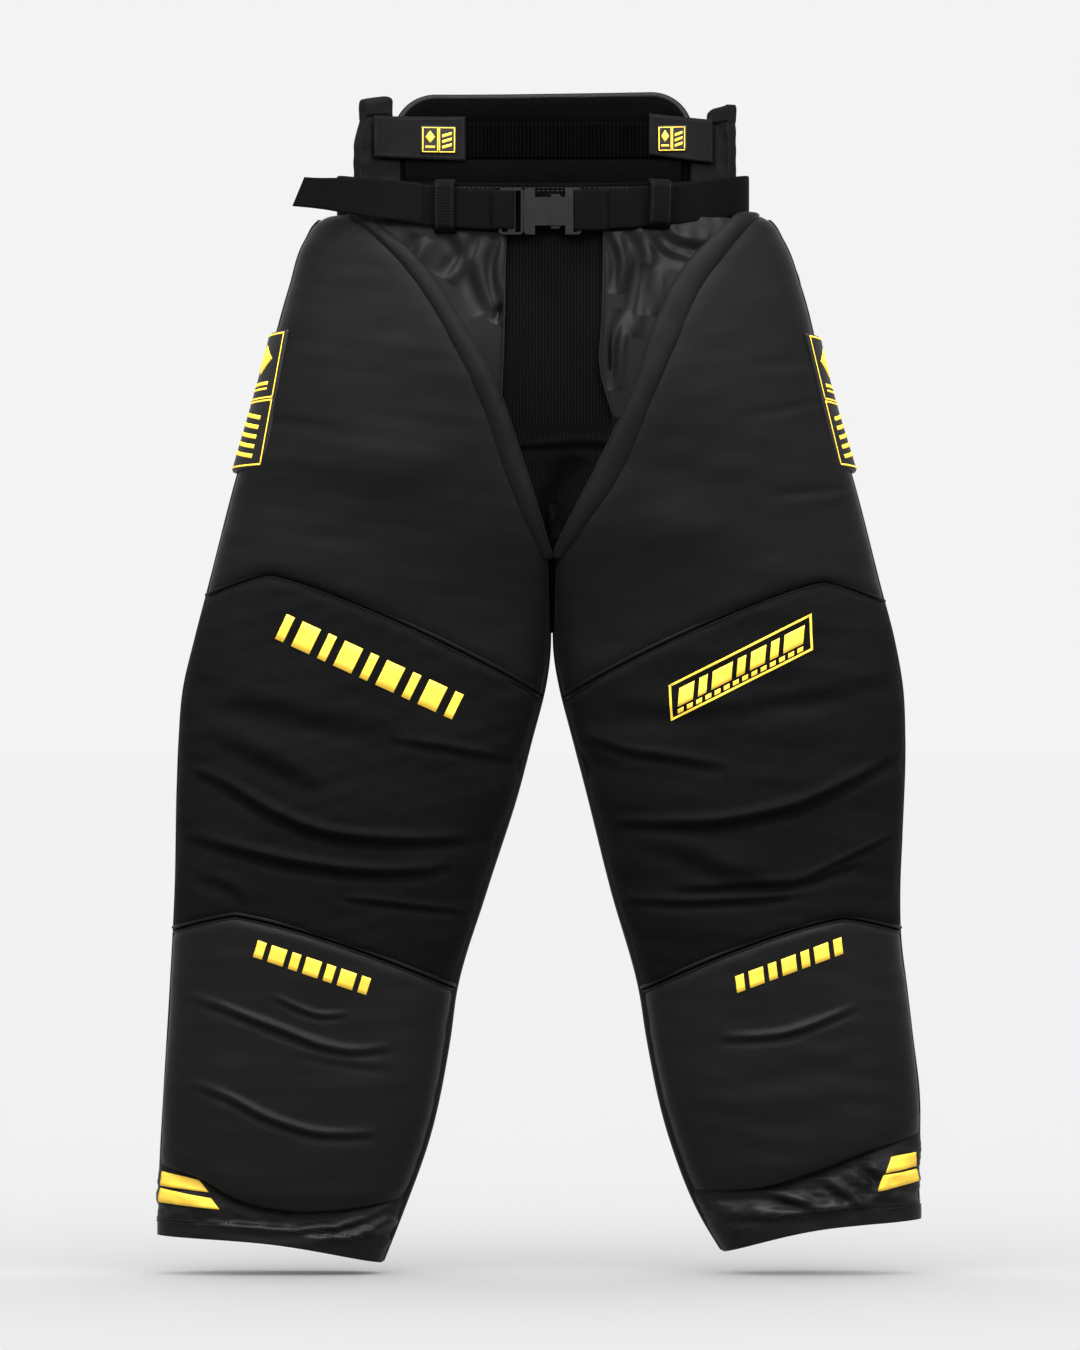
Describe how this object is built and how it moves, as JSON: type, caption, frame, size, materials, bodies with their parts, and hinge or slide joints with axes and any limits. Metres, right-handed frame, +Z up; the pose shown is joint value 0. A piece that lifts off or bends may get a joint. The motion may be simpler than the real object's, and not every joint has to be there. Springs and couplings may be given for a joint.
{
  "type": "padded goalkeeper trousers",
  "caption": "Padded goalkeeper trousers with a high kidney pad at the back, a webbing belt with a side-release buckle, hip pull tabs, and padded thighs, knees and shins.",
  "frame": {"origin": "centre of the waist opening at the height of the belt", "axes": "+Z up towards the kidney pad, -Y the front, +X the wearer's left"},
  "size_m": [0.767, 0.1979, 1.174],
  "materials": {
    "kidney_mesh": "matte",
    "ribbed_elastic": "matte",
    "band_fabric": "matte",
    "webbing": "satin",
    "buckle_plastic": "satin",
    "stretch_knit": "matte",
    "tab_fabric": "matte",
    "hook_patch": "matte",
    "satin": "satin",
    "thigh_fabric": "matte",
    "rubber_patch": "satin",
    "foam": "matte",
    "knee_fabric": "matte",
    "shin_fabric": "satin"
  },
  "bodies": {
    "trunk": {"kidney_pad": "kidney_mesh", "ribbed_elastic": "ribbed_elastic", "back_band": "band_fabric", "waistband_front": "band_fabric", "waistband_back": "band_fabric", "waist_elastic": "ribbed_elastic", "belt_webbing": "webbing", "belt_anchor_fold": "webbing", "back_belt_loops": "band_fabric", "buckle_socket": "buckle_plastic", "fly_panel": "stretch_knit", "crotch_gusset": "stretch_knit", "seat_panel": "stretch_knit", "left_side_wing": "band_fabric", "left_belt_loop": "band_fabric", "left_hip_panel": "satin", "left_thigh_pad_top": "thigh_fabric", "left_thigh_binding": "stretch_knit", "left_back_hip_panel": "thigh_fabric", "left_hip_patch": "rubber_patch", "right_side_wing": "band_fabric", "right_belt_loop": "band_fabric", "right_hip_panel": "satin", "right_thigh_pad_top": "thigh_fabric", "right_thigh_binding": "stretch_knit", "right_back_hip_panel": "thigh_fabric", "right_hip_patch": "rubber_patch"},
    "plug": {"buckle_plug": "buckle_plastic", "belt_plug_fold": "webbing"},
    "upper_prong": {"prong_upper": "buckle_plastic"},
    "lower_prong": {"prong_lower": "buckle_plastic"},
    "tail": {"belt_tail": "webbing"},
    "left_tab": {"left_pull_tab": "tab_fabric", "left_tab_patch": "hook_patch"},
    "left_thigh": {"left_thigh_pad": "thigh_fabric", "left_thigh_foam": "foam", "left_back_thigh_panel": "thigh_fabric", "left_knee_pad_top": "knee_fabric", "left_knee_foam_top": "foam"},
    "left_shin": {"left_knee_pad": "knee_fabric", "left_knee_foam": "foam", "left_shin_pad": "shin_fabric", "left_shin_foam": "foam", "left_back_calf_panel": "thigh_fabric", "left_cuff": "satin"},
    "right_tab": {"right_pull_tab": "tab_fabric", "right_tab_patch": "hook_patch"},
    "right_thigh": {"right_thigh_pad": "thigh_fabric", "right_thigh_foam": "foam", "right_back_thigh_panel": "thigh_fabric", "right_knee_pad_top": "knee_fabric", "right_knee_foam_top": "foam"},
    "right_shin": {"right_knee_pad": "knee_fabric", "right_knee_foam": "foam", "right_shin_pad": "shin_fabric", "right_shin_foam": "foam", "right_back_calf_panel": "thigh_fabric", "right_cuff": "satin"}
  },
  "joints": [
    {"name": "left_hip", "type": "hinge", "parent": "trunk", "child": "left_thigh", "pos_m": [0.17, -0.0823, -0.275], "axis": [-1, 0, 0], "range_deg": [0, 35]},
    {"name": "left_knee", "type": "hinge", "parent": "left_thigh", "child": "left_shin", "pos_m": [0.2, 0.0663, -0.557], "axis": [1, 0, 0], "range_deg": [0, 90]},
    {"name": "right_hip", "type": "hinge", "parent": "trunk", "child": "right_thigh", "pos_m": [-0.17, -0.0823, -0.275], "axis": [-1, 0, 0], "range_deg": [0, 35]},
    {"name": "right_knee", "type": "hinge", "parent": "right_thigh", "child": "right_shin", "pos_m": [-0.2, 0.0663, -0.557], "axis": [1, 0, 0], "range_deg": [0, 90]},
    {"name": "buckle_slide", "type": "slide", "parent": "trunk", "child": "plug", "axis": [-1, 0, 0], "range_m": [0, 0.03]},
    {"name": "upper_prong_flex", "type": "hinge", "parent": "plug", "child": "upper_prong", "pos_m": [-0.017, -0.09, 0.00485], "axis": [0, 1, 0], "range_deg": [0, 15]},
    {"name": "lower_prong_flex", "type": "hinge", "parent": "plug", "child": "lower_prong", "pos_m": [-0.017, -0.09, -0.02085], "axis": [0, -1, 0], "range_deg": [0, 15]},
    {"name": "tail_swing", "type": "hinge", "parent": "trunk", "child": "tail", "pos_m": [-0.1145, -0.0786, 0], "axis": [0, 0, 1], "range_deg": [0, 60]},
    {"name": "left_tab_peel", "type": "hinge", "parent": "trunk", "child": "left_tab", "pos_m": [0.1803, 0.0335, 0.073], "axis": [0, 0, 1], "range_deg": [0, 90]},
    {"name": "right_tab_peel", "type": "hinge", "parent": "trunk", "child": "right_tab", "pos_m": [-0.1803, 0.0335, 0.073], "axis": [0, 0, -1], "range_deg": [0, 90]}
  ],
  "couplings": [
    {"joint": "upper_prong_flex", "follows": "buckle_slide", "rad_per_m": 8.3},
    {"joint": "lower_prong_flex", "follows": "buckle_slide", "rad_per_m": 8.3}
  ]
}
